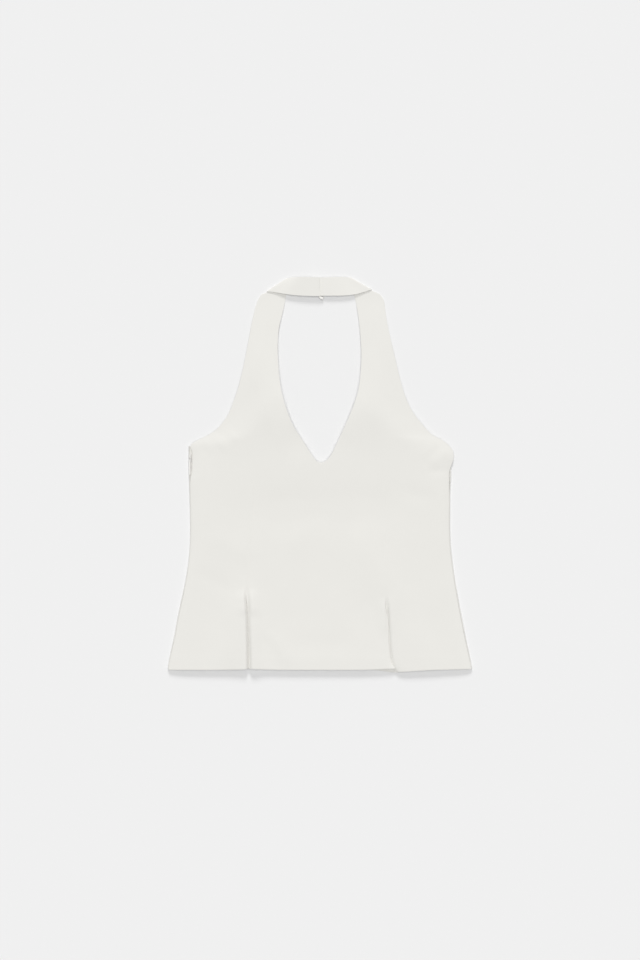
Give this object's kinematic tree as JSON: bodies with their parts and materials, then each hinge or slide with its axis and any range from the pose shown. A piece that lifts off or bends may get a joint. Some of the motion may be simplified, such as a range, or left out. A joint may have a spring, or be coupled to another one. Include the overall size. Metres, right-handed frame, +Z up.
{
  "type": "halter-neck peplum top with a zipped side seam, laid flat",
  "caption": "Sleeveless halter top with a V neck, a band behind the neck, a flared pleated hem and a side zip, lying flat with its front up.",
  "frame": {"origin": "on the surface it lies on, under the middle of the garment's outline", "axes": "+X to the viewer's right as the front is seen, which is the wearer's left; +Y from the hem to the neck; +Z up off the surface"},
  "size_m": [0.4568, 0.5928, 0.0071],
  "materials": {
    "crepe": "matte off-white crepe with a very fine, smooth face",
    "zip_tape": "matte off-white woven tape and coil",
    "zip_metal": "off-white enamel, semi-gloss",
    "hook_metal": "off-white enamel, satin"
  },
  "bodies": {
    "top": {"back": "crepe", "front": "crepe", "neck_band_left": "crepe", "neck_band_right": "crepe", "zip_chain": "zip_tape", "zip_slider": "zip_metal", "neck_hook": "hook_metal", "neck_eye": "hook_metal"},
    "pull_tab": {"zip_pull": "zip_metal"}
  },
  "joints": [
    {"name": "pull_turn", "type": "hinge", "parent": "top", "child": "pull_tab", "pos_m": [-0.19497, 0.0256, 0.0054], "axis": [-1, 0, 0], "range_deg": [0, 170]}
  ]
}
